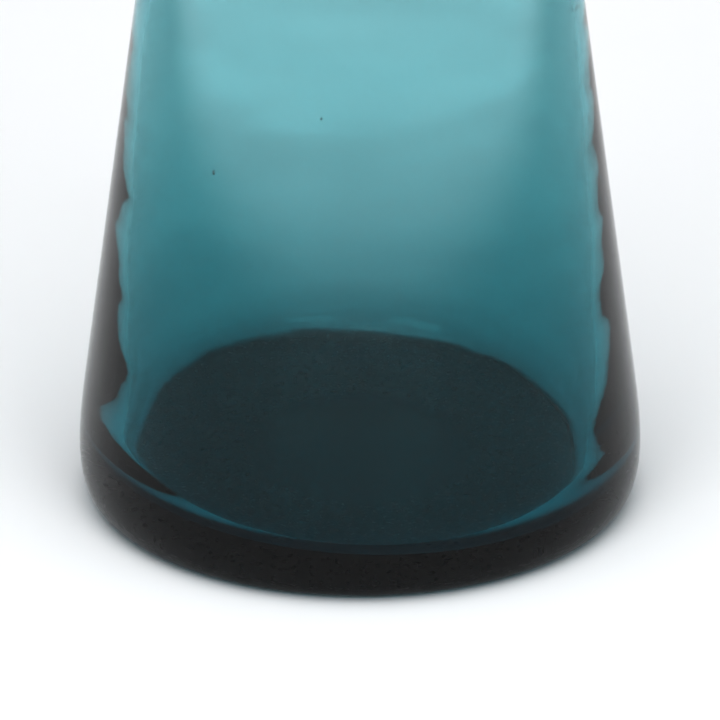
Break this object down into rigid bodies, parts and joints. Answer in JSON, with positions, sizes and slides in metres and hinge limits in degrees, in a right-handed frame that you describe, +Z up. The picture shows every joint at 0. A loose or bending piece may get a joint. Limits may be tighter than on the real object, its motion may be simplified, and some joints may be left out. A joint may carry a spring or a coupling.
{
  "type": "vase",
  "caption": "Tapered hollow glass vase with a thick heavy base, a rounded heel and a small out-turned mouth.",
  "frame": {"origin": "centre of the foot, on the surface that the vase stands on", "axes": "+Z up along the axis that the vase is turned about, from the foot to the mouth"},
  "size_m": [0.09, 0.0898, 0.19],
  "materials": {
    "teal_glass": "clear, fire-polished, solid-coloured teal"
  },
  "bodies": {
    "root": {"inner_bubble": "teal_glass", "outer_casing": "teal_glass"}
  },
  "joints": []
}
